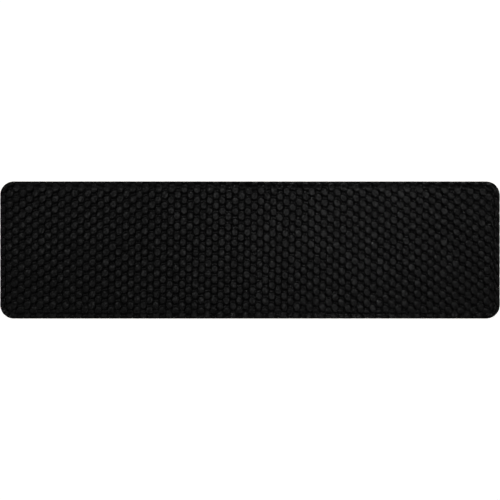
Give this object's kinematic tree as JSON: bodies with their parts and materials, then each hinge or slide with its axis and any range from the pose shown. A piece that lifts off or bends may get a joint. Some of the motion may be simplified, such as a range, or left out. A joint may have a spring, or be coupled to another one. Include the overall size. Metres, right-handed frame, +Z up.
{
  "type": "snowboard stomp pad",
  "caption": "Bar-shaped stomp pad: dotted black rubber skin over a foam core, with a double-coated adhesive layer and a split peel-off backing.",
  "frame": {"origin": "centre of the pad's rectangular outline, on the underside of the backing paper", "axes": "+X along the pad's length, +Y across its width, +Z up out of the dotted face"},
  "size_m": [0.182, 0.05, 0.005],
  "materials": {
    "black_rubber": "moulded matt rubber with a faint sheen on the dot tops",
    "grey_foam": "closed-cell foam",
    "adhesive": "tacky, slightly yellow pressure-sensitive adhesive",
    "clear_film": "clear polyester film",
    "liner_paper": "silicone-coated release paper, satin"
  },
  "bodies": {
    "pad": {"grip_sheet": "black_rubber", "foam_core": "grey_foam", "adhesive_upper_coat": "adhesive", "adhesive_carrier_film": "clear_film", "adhesive_lower_coat": "adhesive"},
    "liner_left": {"release_liner_left": "liner_paper"},
    "liner_right": {"release_liner_right": "liner_paper"}
  },
  "joints": [
    {"name": "peel_left", "type": "hinge", "parent": "pad", "child": "liner_left", "pos_m": [-0.091, 0, 0.00012], "axis": [0, 1, 0], "range_deg": [0, 150]},
    {"name": "peel_right", "type": "hinge", "parent": "pad", "child": "liner_right", "pos_m": [0.091, 0, 0.00012], "axis": [0, -1, 0], "range_deg": [0, 150]}
  ]
}
